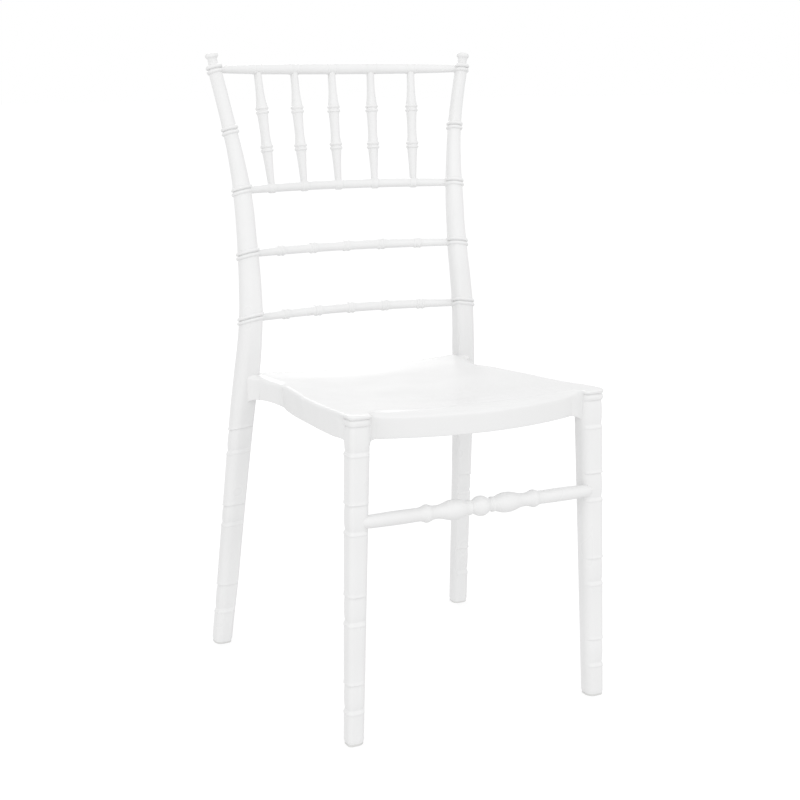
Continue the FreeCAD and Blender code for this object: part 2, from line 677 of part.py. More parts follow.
stem_rear = bar("glide_bore_rear", S("glide_stem_radius"), S("glide_stem_length"),
                (VAL["post_half_a"], VAL["post_back_a"], VAL["glide_height"]), (0, 0, 1))
rear_tools = fused("rear_post_sockets", [stem_rear] + groups["rear"]["drill"])
rear_bored = cut("rear_post_bored", post_raw, rear_tools)
rails_all = doc.addObject("Part::Compound", "rail_ends")
rails_all.Links = [top_bar, spindle_bar, upper_bar, lower_bar]
rear_socketed = cut("rear_post_socketed", rear_bored, rails_all)
rear_right = cut("rear_post_right", rear_socketed, fin)
node(rear_right, "right_rear_post")
node(mirrored(rear_right, "rear_post_left"), "left_rear_post")

node(fin, "right_finial")
node(mirrored(fin, "finial_left"), "left_finial")
node(front_glide, "right_front_glide")
node(mirrored(front_glide, "front_glide_left"), "left_front_glide")
node(rear_glide, "right_rear_glide")
node(mirrored(rear_glide, "rear_glide_left"), "left_rear_glide")

# ---------------------------------------------------------------------------
# Seat moulding: dished top, downturned apron, ribs and corner bosses
# ---------------------------------------------------------------------------
# side edge of the seat, from the front corner to the concave kink before the
# rear post, and on to the post: (y, half width, lower edge of the apron)
SIDE = [(-219.0, 193.4, 415.0), (-205.0, 193.6, 412.5), (-190.0, 193.4, 411.2), (-177.0, 192.7, 409.6), (-157.0, 191.2, 408.0),
        (-137.0, 189.9, 407.1), (-117.0, 188.6, 406.2), (-97.0, 187.0, 405.5), (-77.0, 185.6, 404.9),
        (-57.0, 183.8, 404.1), (-37.0, 180.9, 402.5), (-17.0, 177.6, 400.9), (3.0, 174.9, 399.6),
        (23.0, 172.5, 399.2), (43.0, 169.9, 399.1), (60.0, 166.6, 399.4)]
SIDE2 = [(66.0, 166.2, 399.6), (83.0, 168.2, 400.4), (103.0, 172.4, 401.0), (115.0, 175.6, 401.0),
         (123.0, 178.8, 401.0), (129.0, 182.6, 401.0), (133.5, 187.2, 401.0), (144.0, 192.5, 401.0)]
ZS = [(-285.0, 448.0), (-250.0, 448.4), (-227.0, 449.4), (-212.0, 448.6), (-177.0, 446.2), (-137.0, 443.6),
      (-97.0, 441.7), (-57.0, 440.8), (-17.0, 440.3), (23.0, 439.5), (63.0, 438.4), (103.0, 437.4),
      (138.0, 438.2), (160.0, 438.8), (185.0, 439.2)]
ZD = [(-285.0, 1.0), (-250.0, 2.0), (-212.0, 4.2), (-177.0, 6.2), (-97.0, 9.0), (-17.0, 10.2), (63.0, 10.0),
      (138.0, 9.2), (185.0, 8.6)]


def table(tab, y):
    if y <= tab[0][0]:
        return tab[0][1]
    for a, b in zip(tab[:-1], tab[1:]):
        if y <= b[0]:
            k = (y - a[0]) / (b[0] - a[0])
            return a[1] + (b[1] - a[1]) * k
    return tab[-1][1]


def seat_top(x, y):
    u = min(1.15, abs(x) / 185.0)
    return table(ZS, y) - table(ZD, y) * max(-0.05, 1.0 - u * u)


def front_edge(x, off=0.0):
    return VAL["seat_front_mid"] + VAL["seat_front_bow"] * (x / 150.0) ** 2 + off


def half_outline(off):
    """Right half of the plan outline moved inwards by off, as point lists of
    smooth stretches: front edge, side edge, rear side edge."""
    def shifted(pts):
        out = []
        for i, p in enumerate(pts):
            a = pts[max(0, i - 1)]
            b = pts[min(len(pts) - 1, i + 1)]
            tx, ty = b[0] - a[0], b[1] - a[1]
            ln = math.hypot(tx, ty)
            out.append((p[0] - ty / ln * off, p[1] + tx / ln * off))
        return out
    front = [(x, front_edge(x)) for x in (0.0, 25.0, 50.0, 75.0, 100.0, 125.0, 150.0, 170.0)]
    side = [(w, y) for y, w, _ in SIDE]
    rear = [(w, y) for y, w, _ in SIDE2]
    f, s, r = shifted(front), shifted(side), shifted(rear)
    return f, s, r


def outline(off, rear_y):
    f, s, r = half_outline(off)
    # meeting points: front edge with side edge, side with rear side, rear corner
    fx = f[:-1] + [(s[0][0] - 8.0, s[0][1] - 1.0)]
    r = r[:-1] + [(r[-1][0], rear_y)]
    edges = []

    def spline(pts):
        c = Part.BSplineCurve()
        c.interpolate([V(p[0], p[1], 0) for p in pts])
        return c.toShape()
    full_front = [(-x, y) for x, y in reversed(fx[1:])] + fx
    edges.append(spline(full_front))
    edges.append(Part.makeLine(V(fx[-1][0], fx[-1][1], 0), V(s[0][0], s[0][1], 0)))
    edges.append(spline(s))
    edges.append(Part.makeLine(V(s[-1][0], s[-1][1], 0), V(r[0][0], r[0][1], 0)))
    edges.append(spline(r))
    edges.append(Part.makeLine(V(r[-1][0], rear_y, 0), V(-r[-1][0], rear_y, 0)))
    edges.append(spline([(-x, y) for x, y in reversed(r)]))
    edges.append(Part.makeLine(V(-r[0][0], r[0][1], 0), V(-s[-1][0], s[-1][1], 0)))
    edges.append(spline([(-x, y) for x, y in reversed(s)]))
    edges.append(Part.makeLine(V(-s[0][0], s[0][1], 0), V(-fx[-1][0], fx[-1][1], 0)))
    return Part.Wire(edges)


def prism(wire, z0, z1):
    w = wire.copy()
    w.translate(V(0, 0, z0))
    return Part.Face(w).extrude(V(0, 0, z1 - z0))


def sheet_solid(func, down):
    """Solid between a doubly curved surface and a level far above or below."""
    xs = [-230.0 + 23.0 * i for i in range(21)]
    ys = [-285.0 + 23.5 * j for j in range(21)]
    grid = [[V(x, y, func(x, y)) for y in ys] for x in xs]
    surf = Part.BSplineSurface()
    surf.interpolate(grid)
    face = surf.toShape()
    return face.extrude(V(0, 0, -90.0 if down else 90.0))


def seat_low(x, y):
    """Lower edge of the apron: follows the side table, arched at the front."""
    t = [(s[0], s[2]) for s in SIDE] + [(s[0], s[2]) for s in SIDE2]
    return table([(-285.0, 411.6), (-240.0, 411.2)] + t[1:] + [(185.0, 401.0)], y)


wall = VAL["seat_wall"]
rear_y = VAL["seat_rear"]
outer = prism(outline(0.0, rear_y), 370.0, 480.0)
inner = prism(outline(wall, rear_y - wall), 360.0, 490.0)
below_top = sheet_solid(seat_top, True)
below_skin = sheet_solid(lambda x, y: seat_top(x, y) - wall, True)
above_low = sheet_solid(seat_low, False)
shell_outer = outer.common(below_top).common(above_low)
cavity = inner.common(below_skin)
seat = shell_outer.cut(cavity)
# pads over the front legs, level on the leg tops
pads = []
lt = VAL["front_top_height"]
for s in (1, -1):
    cx, cy = s * VAL["front_top_half"], VAL["front_top_back"]
    x0, x1 = sorted((s * 161.4, s * 195.2))
    blk = Part.makeBox(x1 - x0, 31.0, 25.0, V(x0, -236.0, lt - 2.1))
    vert = [e for e in blk.Edges if abs(e.Length - 25.0) < 1e-6 and e.Vertexes[0].Y < cy]
    blk = blk.makeFillet(8.0, [e for e in vert if abs(e.Vertexes[0].X) > 180.0])
    vert = [e for e in blk.Edges if abs(e.Length - 25.0) < 1e-6 and e.Vertexes[0].Y < -235.9
            and abs(e.Vertexes[0].X) < 165.0]
    blk = blk.makeFillet(6.0, vert)
    pads.append(blk.common(below_top))
# ribs under the plate
rw, rd = VAL["seat_rib_wide"], VAL["seat_rib_deep"]
rib_low = sheet_solid(lambda x, y: seat_top(x, y) - wall - rd, False)
ribs = []
for y in (-130.0, -20.0, 90.0):
    ribs.append(Part.makeBox(400.0, rw, 110.0, V(-200.0, y - rw / 2, 370.0)))
rib_solid = ribs[0].multiFuse(ribs[1:]).common(cavity).common(rib_low)
# corner bosses that the bolts clamp against the legs
boss = []
for s in (1, -1):
    zlow = 413.5
    x0, x1 = 160.0, 192.0
    y0 = front_axis(427.0)[1] + 2.0
    y1 = front_axis(427.0)[1] + front_axis(427.0)[2] / 2 + VAL["bolt_grip"]
    boss.append(Part.makeBox(x1 - x0, y1 - y0, 60.0, V(min(s * x0, s * x1), y0, zlow)))
    zb = 401.2
    px = lerp_table(414.0, 1) - lerp_table(414.0, 3) / 2
    py = lerp_table(414.0, 2)
    bx0, bx1 = px - VAL["bolt_grip"], px + 6.0
    boss.append(Part.makeBox(bx1 - bx0, 34.0, 60.0, V(min(s * bx0, s * bx1), rear_y - 34.0, zb)))
boss_solid = boss[0].multiFuse(boss[1:]).common(outer).common(below_top)
seat = seat.fuse(rib_solid).fuse(boss_solid).multiFuse(pads)
# the moulding stops at the legs: straight leg cores are taken out
fc = front_core.Shape
pc = post_core.Shape
mir = FreeCAD.Matrix()
mir.A11 = -1.0
for c in (fc, pc):
    seat = seat.cut(c)
    seat = seat.cut(c.mirror(V(0, 0, 0), V(1, 0, 0)))
for where in ("front", "rear"):
    for hobj in groups[where]["hole"]:
        seat = seat.cut(hobj.Shape)
        seat = seat.cut(hobj.Shape.mirror(V(0, 0, 0), V(1, 0, 0)))
seat = seat.removeSplitter()
if len(seat.Solids) > 1:
    parts = sorted(seat.Solids, key=lambda q: -q.Volume)
    print("seat pieces", [round(q.Volume, 1) for q in parts])
    seat = parts[0]
elif len(seat.Solids) == 1:
    seat = seat.Solids[0]
seat_obj = doc.addObject("Part::Feature", "seat_moulding")
seat_obj.Shape = seat
node(seat_obj, "seat")

doc.recompute()

# ---------------------------------------------------------------------------
# Checks, then one file for each piece
# ---------------------------------------------------------------------------
bad = []
for obj in doc.Objects:
    st = [str(x) for x in obj.State]
    if "Invalid" in st or "Error" in st:
        bad.append(obj.Name)
if bad:
    raise RuntimeError("failed objects: %s" % ", ".join(bad))

box = None
for label, obj in NODES:
    sh = obj.Shape
    if sh.isNull() or not sh.isValid() or sh.Volume <= 0:
        raise RuntimeError("bad shape: " + label)
    print("%-30s solids %d volume %10.1f" % (label, len(sh.Solids), sh.Volume))
    b = sh.BoundBox
    if box is None:
        box = FreeCAD.BoundBox(b)
    else:
        box.add(b)
print("box", [round(v, 2) for v in (box.XMin, box.XMax, box.YMin, box.YMax, box.ZMin, box.ZMax)])

for label, obj in NODES:
    sh = obj.Shape.copy()
    if VAL["frame_shift"]:
        sh.translate(V(0, VAL["frame_shift"], 0))
    sh.exportStep("parts/%s.step" % label)
print("pieces", len(NODES))
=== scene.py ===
import math

import bpy
import numpy as np
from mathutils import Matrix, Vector


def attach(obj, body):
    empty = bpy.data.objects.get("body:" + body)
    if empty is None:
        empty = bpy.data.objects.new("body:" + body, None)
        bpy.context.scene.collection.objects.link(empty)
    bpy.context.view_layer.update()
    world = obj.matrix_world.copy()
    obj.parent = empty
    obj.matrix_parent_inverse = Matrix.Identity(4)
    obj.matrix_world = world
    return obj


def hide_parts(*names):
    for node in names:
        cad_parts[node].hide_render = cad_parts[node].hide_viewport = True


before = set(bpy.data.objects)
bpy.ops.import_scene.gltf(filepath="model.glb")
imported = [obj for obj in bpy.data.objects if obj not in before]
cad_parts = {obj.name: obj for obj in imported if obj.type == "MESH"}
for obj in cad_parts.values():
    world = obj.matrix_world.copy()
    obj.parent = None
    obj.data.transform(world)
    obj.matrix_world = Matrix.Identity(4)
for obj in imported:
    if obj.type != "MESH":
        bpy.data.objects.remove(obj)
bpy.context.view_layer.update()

SHIFT = -0.65      # mm, the outline's centring shift along Y


# ---------------------------------------------------------------------------
# Small numeric helpers (all lengths below are millimetres)
# ---------------------------------------------------------------------------
def smooth(tab, x):
    """Monotone cubic through a table of (x, y)."""
    xs = np.array([t[0] for t in tab], float)
    ys = np.array([t[1] for t in tab], float)
    h = np.diff(xs)
    d = np.diff(ys) / h
    m = np.zeros(len(xs))
    m[0], m[-1] = d[0], d[-1]
    for i in range(1, len(xs) - 1):
        if d[i - 1] * d[i] > 0:
            w1, w2 = 2 * h[i] + h[i - 1], h[i] + 2 * h[i - 1]
            m[i] = (w1 + w2) / (w1 / d[i - 1] + w2 / d[i])
    x = np.asarray(x, float)
    xc = np.clip(x, xs[0], xs[-1])
    k = np.clip(np.searchsorted(xs, xc) - 1, 0, len(h) - 1)
    t = (xc - xs[k]) / h[k]
    a = 2 * t ** 3 - 3 * t ** 2 + 1
    b = t ** 3 - 2 * t ** 2 + t
    c = -2 * t ** 3 + 3 * t ** 2
    e = t ** 3 - t ** 2
    return a * ys[k] + b * h[k] * m[k] + c * ys[k + 1] + e * h[k] * m[k + 1]


def line(tab, x):
    return np.interp(x, [t[0] for t in tab], [t[1] for t in tab])


def step(e0, e1, x):
    t = np.clip((np.asarray(x, float) - e0) / (e1 - e0), 0, 1)
    return t * t * (3 - 2 * t)


def unit(v):
    v = np.asarray(v, float)
    return v / np.linalg.norm(v)


# ---------------------------------------------------------------------------
# Mesh helpers
# ---------------------------------------------------------------------------
def make(name, verts, faces, nodes, material, sharp=38.0, flip=False):
    v = np.asarray(verts, float).copy()
    v[:, 1] += SHIFT
    v *= 0.001
    if flip:
        faces = [tuple(reversed(f)) for f in faces]
    me = bpy.data.meshes.new(name)
    me.from_pydata(v.tolist(), [], [tuple(int(i) for i in f) for f in faces])
    me.validate()
    me.polygons.foreach_set("use_smooth", [True] * len(me.polygons))
    me.set_sharp_from_angle(angle=math.radians(sharp))
    me.update()
    ob = bpy.data.objects.new(name, me)
    bpy.context.scene.collection.objects.link(ob)
    me.materials.append(material)
    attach(ob, "root")
    if nodes:
        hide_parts(*nodes)
    return ob


def skin(rings, cap_start=True, cap_end=True):
    """Closed skin through rings of equal length; rings is (n, m, 3)."""
    rings = np.asarray(rings, float)
    n, m = rings.shape[:2]
    verts = rings.reshape(-1, 3)
    idx = np.arange(n * m).reshape(n, m)
    a = idx[:-1, :]
    b = np.roll(idx, -1, axis=1)[:-1, :]
    c = np.roll(idx, -1, axis=1)[1:, :]
    d = idx[1:, :]
    faces = np.stack([a, b, c, d], -1).reshape(-1, 4).tolist()
    extra = []
    if cap_start:
        extra.append(rings[0].mean(0))
        k = n * m + len(extra) - 1
        faces += [(idx[0, (j + 1) % m], idx[0, j], k) for j in range(m)]
    if cap_end:
        extra.append(rings[-1].mean(0))
        k = n * m + len(extra) - 1
        faces += [(idx[-1, j], idx[-1, (j + 1) % m], k) for j in range(m)]
    if extra:
        verts = np.vstack([verts, extra])
    return verts, faces


def join(parts):
    """Several (verts, faces) as one."""
    vs, fs, n = [], [], 0
    for v, f in parts:
        vs.append(np.asarray(v, float))
        fs += [tuple(int(i) + n for i in q) for q in f]
        n += len(v)
    return np.vstack(vs), fs


def mirror(verts):
    v = np.array(verts, float)
    v[:, 0] *= -1
    return v


def turned(profile, origin, axis, segs=40):
    """Surface of revolution.  profile is a list of (distance along, radius)."""
    axis = unit(axis)
    ref = np.array([0.0, 0.0, 1.0]) if abs(axis[2]) < 0.9 else np.array([1.0, 0.0, 0.0])
    e1 = unit(np.cross(ref, axis))
    e2 = np.cross(axis, e1)
    th = np.linspace(0, 2 * math.pi, segs, endpoint=False)
    circ = np.cos(th)[:, None] * e1 + np.sin(th)[:, None] * e2
    rings = [np.asarray(origin, float) + s * axis + max(r, 0.02) * circ for s, r in profile]
    return skin(rings)


def section(w, d, radii, nc=9, nf=2):
    """Rounded section as points and outward normals, counter-clockwise.
    radii holds the corner radii in the order -x-y, +x-y, +x+y, -x+y."""
    sg = [(-1, -1), (1, -1), (1, 1), (-1, 1)]
    st = [math.pi, 1.5 * math.pi, 0.0, 0.5 * math.pi]
    arcs = []
    for k, (sx, sy) in enumerate(sg):
        rr = radii[k]
        cx, cy = sx * (w / 2 - rr), sy * (d / 2 - rr)
        a = st[k] + np.linspace(0, math.pi / 2, nc + 1)
        arcs.append((np.c_[cx + rr * np.cos(a), cy + rr * np.sin(a)], np.c_[np.cos(a), np.sin(a)]))
    pts, nrm = [], []
    for k in range(4):
        p, n = arcs[k]
        q, _ = arcs[(k + 1) % 4]
        pts.append(p)
        nrm.append(n)
        for f in range(1, nf + 1):
            t = f / (nf + 1)
            pts.append((p[-1] * (1 - t) + q[0] * t)[None])
            nrm.append(n[-1][None])
    return np.vstack(pts), np.vstack(nrm)


# ---------------------------------------------------------------------------
# Materials
# ---------------------------------------------------------------------------
def plastic(name, tone_lo, tone_hi, rough_lo, rough_hi, bump=0.12, coat=0.0, seed=0.0):
    m = bpy.data.materials.new(name)
    m.use_nodes = True
    nt = m.node_tree
    nt.nodes.clear()
    out = nt.nodes.new("ShaderNodeOutputMaterial")
    bs = nt.nodes.new("ShaderNodeBsdfPrincipled")
    bs.inputs["IOR"].default_value = 1.49
    bs.inputs["Coat Weight"].default_value = coat
    bs.inputs["Coat Roughness"].default_value = 0.12
    co = nt.nodes.new("ShaderNodeTexCoord")
    mp = nt.nodes.new("ShaderNodeMapping")
    mp.inputs["Location"].default_value = (seed, seed * 0.7, -seed)
    nt.links.new(co.outputs["Object"], mp.inputs["Vector"])
    broad = nt.nodes.new("ShaderNodeTexNoise")
    broad.inputs["Scale"].default_value = 9.0
    broad.inputs["Detail"].default_value = 3.0
    nt.links.new(mp.outputs["Vector"], broad.inputs["Vector"])
    cr = nt.nodes.new("ShaderNodeValToRGB")
    cr.color_ramp.elements[0].position = 0.3
    cr.color_ramp.elements[1].position = 0.7
    cr.color_ramp.elements[0].color = (*tone_lo, 1)
    cr.color_ramp.elements[1].color = (*tone_hi, 1)
    nt.links.new(broad.outputs["Fac"], cr.inputs["Fac"])
    nt.links.new(cr.outputs["Color"], bs.inputs["Base Color"])
    mid = nt.nodes.new("ShaderNodeTexNoise")
    mid.inputs["Scale"].default_value = 16.0
    mid.inputs["Detail"].default_value = 1.0
    nt.links.new(mp.outputs["Vector"], mid.inputs["Vector"])
    mr = nt.nodes.new("ShaderNodeMapRange")
    mr.inputs["From Min"].default_value = 0.3
    mr.inputs["From Max"].default_value = 0.7
    mr.inputs["To Min"].default_value = rough_lo
    mr.inputs["To Max"].default_value = rough_hi
    nt.links.new(mid.outputs["Fac"], mr.inputs["Value"])
    nt.links.new(mr.outputs["Result"], bs.inputs["Roughness"])
    fine = nt.nodes.new("ShaderNodeTexNoise")
    fine.inputs["Scale"].default_value = 30.0
    fine.inputs["Detail"].default_value = 2.0
    nt.links.new(mp.outputs["Vector"], fine.inputs["Vector"])
    bp = nt.nodes.new("ShaderNodeBump")
    bp.inputs["Strength"].default_value = bump
    bp.inputs["Distance"].default_value = 0.0002
    nt.links.new(fine.outputs["Fac"], bp.inputs["Height"])
    nt.links.new(bp.outputs["Normal"], bs.inputs["Normal"])
    nt.links.new(bs.outputs["BSDF"], out.inputs["Surface"])
    return m


def metal(name, lo, hi, rough):
    m = plastic(name, lo, hi, rough - 0.06, rough + 0.06, bump=0.3)
    bs = next(n for n in m.node_tree.nodes if n.type == "BSDF_PRINCIPLED")
    bs.inputs["Metallic"].default_value = 1.0
    return m


FRAME_MAT = plastic("frame_white", (0.79, 0.79, 0.79), (0.82, 0.82, 0.82), 0.27, 0.33, bump=0.05, seed=1.3)
SEAT_MAT = plastic("seat_white", (0.80, 0.80, 0.80), (0.825, 0.825, 0.825), 0.23, 0.27, bump=0.04, seed=4.1)
GLIDE_MAT = plastic("glide_offwhite", (0.66, 0.66, 0.65), (0.72, 0.72, 0.71), 0.45, 0.6, bump=0.2, seed=2.2)
STEEL_MAT = metal("bolt_zinc", (0.55, 0.56, 0.58), (0.68, 0.68, 0.70), 0.34)
BRASS_MAT = metal("insert_yellow", (0.62, 0.46, 0.18), (0.75, 0.58, 0.26), 0.30)

# ---------------------------------------------------------------------------
# Front legs
# ---------------------------------------------------------------------------
Z_GLIDE, Z_TOP = 3.0, 445.4


def front_axis(z):
    return 189.9 - 0.02855 * z, -229.7 + 0.0249 * z


def ring_profile(ledges, steps, low, high):
    """Offset of the bamboo relief against height: recessed barrels between a
    step (above) and a ledge (below)."""
    tab = [(low, 0.0)]
    for (zt, zb), zs in sorted(zip(ledges, steps)):
        h = zt - zb
        tab += [(zb, 0.0), (zb + 0.16 * h, 0.55), (zb + 0.34 * h, 0.68), (zb + 0.5 * h, 0.25),
                (zb + 0.86 * h, -1.25), (zt, -1.4)]
        span = zs - 0.5 - zt
        for t in (0.05, 0.12, 0.22, 0.35, 0.5, 0.65, 0.78, 0.88, 0.95):
            tab.append((zt + t * span, -0.2 - 1.2 * abs(2 * t - 1) ** 3))
        tab += [(zs - 0.5, -1.4), (zs, 0.55), (zs + 0.5, 0.72), (zs + 1.4, 0.62), (zs + 3.2, 0.22), (zs + 5.0, 0.0)]
    tab.append((high, tab[-1][1]))
    return tab


F_TAB = ring_profile([(400.0, 393.0), (295.3, 288.3), (172.6, 164.6), (50.9, 42.9)], [434.1, 330.2, 206.2, 85.5],
                     0.0, 434.4)
# the barrel under the broad bead ends in the bead instead of a flared step
F_TAB = [t for t in F_TAB if t[0] < 433.3]
F_TAB += [(433.6, -1.3), (434.2, 0.1), (435.2, 0.8), (436.8, 1.2), (438.4, 1.3), (440.0, 1.1), (441.3, 0.6),
          (442.1, -0.1), (442.6, -0.8), (443.2, -0.8), (443.7, 0.0), (445.5, 0.5)]


def front_leg_rings():
    zs = set(np.linspace(Z_GLIDE, Z_TOP, 120).round(3))
    for z, _ in F_TAB:
        for dz in (-0.25, 0.0, 0.25):
            if Z_GLIDE < z + dz < Z_TOP:
                zs.add(round(z + dz, 3))
    zs = sorted(zs)
    rings = []
    for z in zs:
        t = z / 445.5
        w = 25.7 + (31.8 - 25.7) * t
        d = 24.7 + (30.8 - 24.7) * t
        p, n = section(w, d, (11.4 + 0.6 * t, 6.5, 10.0 + 1.4 * t, 5.5 + 1.0 * t))
        phi = np.degrees(np.arctan2(-n[:, 1], n[:, 0]))      # 0 outer, +90 front, -90 back
        mask = (1 - step(118, 165, phi)) * (1 - step(95, 150, -phi))
        o = line(F_TAB, z) * mask
        edge = -1.1 * (1 - math.sqrt(max(0.0, 1 - (1 - min(1.0, (z - Z_GLIDE) / 1.6)) ** 2)))
        q = p + n * (o + edge)[:, None]
        cx, cy = front_axis(z)
        rings.append(np.c_[cx + q[:, 0], cy + q[:, 1], np.full(len(q), z)])
    return np.array(rings)


v, f = skin(front_leg_rings())
make("front_leg_R", v, f, ["right_front_leg"], FRAME_MAT)
make("front_leg_L", mirror(v), f, ["left_front_leg"], FRAME_MAT, flip=True)

# ---------------------------------------------------------------------------
# Rear posts
# ---------------------------------------------------------------------------
AXIS_W = [(0, 211.6), (100, 206.0), (200, 200.5), (300, 194.8), (380, 189.9), (450, 183.9), (519.5, 179.1),
          (575, 176.6), (613.8, 175.6), (650, 175.6), (705.9, 177.4), (750, 181.4), (792.1, 187.3), (840, 196.3),
          (880, 204.8), (904, 209.5)]
AXIS_Y = [(0, 209.6), (100, 196.2), (200, 182.9), (300, 169.6), (380, 158.6), (450, 149.3), (485, 145.8),
          (519.5, 144.4), (560, 148.4), (600, 154.8), (640, 161.2), (680, 167.1), (705.9, 171.6), (750, 180.5),
          (792.1, 189.0), (840, 195.9), (880, 200.1), (904, 202.6)]
THICK = [(0, 27.4), (100, 28.1), (200, 29.1), (300, 30.6), (400, 32.6), (440, 33.2), (480, 32.5), (520, 31.8),
         (560, 31.0), (595, 30.0), (640, 27.9), (680, 26.8), (706, 25.2), (722, 23.9), (745, 22.4), (775, 20.6),
         (800, 19.8), (830, 19.1), (865, 18.7), (904, 18.5)]
R_OUT = [(0, 0.40), (420, 0.40), (480, 0.42), (560, 0.46), (904, 0.46)]
R_IN = [(0, 9.0), (60, 6.0), (110, 3.0), (440, 3.0), (480, 5.0), (520, 7.5), (560, 10.0), (600, 12.2), (640, 14.5),
        (904, 14.5)]
TILT_OUT = [(3, 0.0), (40, 0.04), (100, 0.05), (350, 0.10), (519.5, 0.155), (904, 0.155)]
TILT_BACK = [(3, 0.0), (40, 0.08), (100, 0.10), (350, 0.20), (519.5, 0.26), (904, 0.26)]
COLLARS = [519.5, 613.8, 705.9, 792.1, 880.0]
P_TAB = ring_profile([(319, 311), (203, 194.5), (60, 50)], [352, 230, 99], 0.0, 470.0)
P_TOP = 886.0


def collar_offset(z):
    """Double bead with a groove, and a slight flare of the post above it."""
    o = 0.0
    for zc in COLLARS:
        s = z - zc
        if abs(s) < 1.2:
            o = -0.4
        for c in (3.1, -3.1):
            t = abs(s - c) / 2.6
            if t < 1:
                o = max(o, 2.6 * math.sqrt(1 - t ** 2.0))
        if 5.2 <= s < 18:
            o += 0.3 * (1 - (s - 5.2) / 12.8) ** 2
    return o


def post_rings():
    zs = set(np.linspace(Z_GLIDE, P_TOP, 200).round(3))
    for z, _ in P_TAB:
        for dz in (-0.25, 0.0, 0.25):
            if Z_GLIDE < z + dz < 470:
                zs.add(round(z + dz, 3))
    for zc in COLLARS:
        for s in np.arange(-6.4, 6.41, 0.4):
            if zc + s < P_TOP:
                zs.add(round(zc + s, 3))
        for s in (8, 10, 12, 14, 16):
            if zc + s < P_TOP:
                zs.add(round(zc + s, 3))
    zs = sorted(zs)
    rings = []
    for z in zs:
        D = float(smooth(THICK, z))
        r = float(smooth(R_OUT, z)) * D
        rin = min(float(smooth(R_IN, z)), 0.46 * D)
        k = float(step(430, 560, z))
        p, n = section(D, D, (rin, r, D * (0.30 + 0.16 * k), max(r, 0.45 * D)))
        phi = np.degrees(np.arctan2(-n[:, 1], n[:, 0]))
        mask = (1 - step(88, 140, phi)) * (1 - step(100, 150, -phi))
        o = line(P_TAB, z) * mask if z < 470 else 0.0
        o = o + collar_offset(z)
        edge = -1.1 * (1 - math.sqrt(max(0.0, 1 - (1 - min(1.0, (z - Z_GLIDE) / 1.6)) ** 2)))
        q = p + n * (o + edge + np.zeros(len(n)))[:, None]
        cx, cy = float(smooth(AXIS_W, z)), float(smooth(AXIS_Y, z))
        to, tb = float(line(TILT_OUT, z)), float(line(TILT_BACK, z))
        rings.append(np.c_[cx + q[:, 0], cy + q[:, 1], z - to * q[:, 0] - tb * q[:, 1]])
    return np.array(rings)


v, f = skin(post_rings())
make("rear_post_R", v, f, ["right_rear_post"], FRAME_MAT)
make("rear_post_L", mirror(v), f, ["left_rear_post"], FRAME_MAT, flip=True)

# ---------------------------------------------------------------------------
# Finials
# ---------------------------------------------------------------------------
FIN = [(-1.0, 8.4), (0.0, 8.4), (1.2, 8.1), (2.6, 7.5), (4.5, 7.0), (6.4, 6.8), (8.4, 6.85), (10.2, 7.1), (11.8, 7.6),
       (12.8, 8.3), (13.6, 9.1), (14.4, 9.5), (15.6, 9.7), (17.0, 9.55), (18.2, 9.1), (19.1, 8.3), (19.7, 7.0),
       (20.0, 5.0), (20.15, 2.6), (20.2, 0.3)]
lean = unit([9.5 * 0.75, 5.0 * 0.75, 46.0])
v, f = turned(FIN, (206.0, 200.5, 884.3), lean, segs=40)
make("finial_R", v, f, ["right_finial"], FRAME_MAT)
make("finial_L", mirror(v), f, ["left_finial"], FRAME_MAT, flip=True)

# ---------------------------------------------------------------------------
# Bowed rails of the back
# ---------------------------------------------------------------------------
RAILS = {
    "top_rail": (204.6, 200.1, 880.0, 41.4, 8.0, 4.9),
    "spindle_rail": (177.4, 171.6, 705.9, 46.5, 6.8, 5.1),
    "upper_back_rail": (175.5, 157.0, 613.8, 34.6, 6.8, 4.9),
    "lower_back_rail": (179.1, 144.4, 519.5, 33.1, 6.8, 4.9)}


def rail_point(key, x):
    half, back, height, bow = RAILS[key][:4]
    rad = (half * half + bow * bow) / (2 * bow)
    y = back + bow - rad + math.sqrt(rad * rad - x * x)
    tan = unit([1.0, -x / math.sqrt(rad * rad - x * x), 0.0])
    return np.array([x, y, height]), tan


def bulge_node(dx):
    """Bamboo node of the two lower rails: swelling with two fine rings."""
    a = abs(dx)
    if a > 10:
        return 0.0
    o = 1.15 * (0.5 + 0.5 * math.cos(math.pi * a / 10))
    for c, h, wd in ((3.8, 0.85, 1.7),):
        t = abs(a - c) / wd
        if t < 1:
            o += h * math.sqrt(1 - t * t)
    return o


def band_node(dx):
    """Ring of the spindle rail under a spindle."""
    a = abs(dx)
    if a > 7:
        return 0.0
    o = 1.5 * (1 - step(3.6, 6.2, a))
    return float(o)


def faint_node(dx):
    a = abs(dx)
    o = 0.0
    t = abs(a - 7.0) / 1.5
    if t < 1:
        o += 0.55 * math.sqrt(1 - t * t)
    return o


def rail_mesh(key, centres, node, segs=36):
    half = RAILS[key][0]
    mid_r, end_r = RAILS[key][4:6]
    end = half - 5.0
    xs = set(np.linspace(-end, end, 141).round(3))
    for c in centres:
        for dx in np.arange(-10.5, 10.51, 0.5):
            xs.add(round(float(c + dx), 3))
    rings = []
    th = np.linspace(0, 2 * math.pi, segs, endpoint=False)
    for x in sorted(xs):
        p, tan = rail_point(key, x)
        side = np.cross([0, 0, 1.0], tan)
        t = min(1.0, abs(x) / half)
        r = mid_r + (end_r - mid_r) * t ** 3
        r += sum(node(x - c) for c in centres)
        rings.append(p + r * (np.cos(th)[:, None] * np.array([0, 0, 1.0]) - np.sin(th)[:, None] * side))
    return skin(rings)


